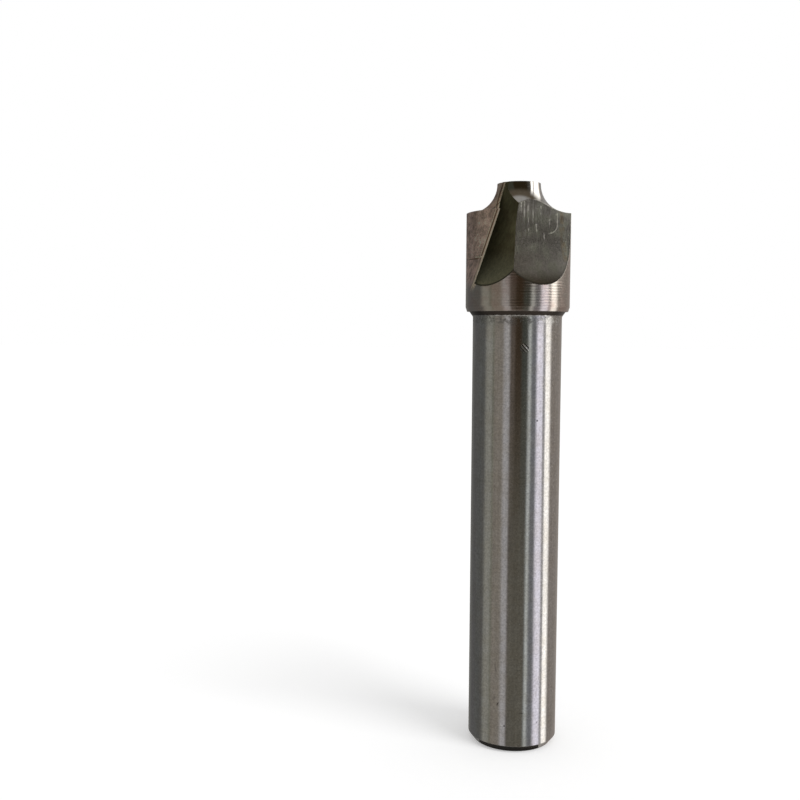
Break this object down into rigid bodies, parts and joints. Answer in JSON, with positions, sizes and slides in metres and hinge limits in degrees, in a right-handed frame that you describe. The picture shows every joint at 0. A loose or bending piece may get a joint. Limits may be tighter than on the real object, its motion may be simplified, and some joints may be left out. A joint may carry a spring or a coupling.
{
  "type": "concave milling cutter",
  "caption": "Concave corner-rounding milling cutter with a plain round shank and a fluted head that leaves a quarter-round edge on a workpiece.",
  "frame": {"origin": "centre of the shank's flat end face, which the tool stands on", "axes": "+Z along the tool's axis, from the shank end to the cutting tip; -Y is the side that shows one flute and its cutting edge"},
  "size_m": [0.014, 0.014, 0.076],
  "materials": {
    "ground_steel": "ground"
  },
  "bodies": {
    "root": {"cutter_body": "ground_steel"}
  },
  "joints": []
}
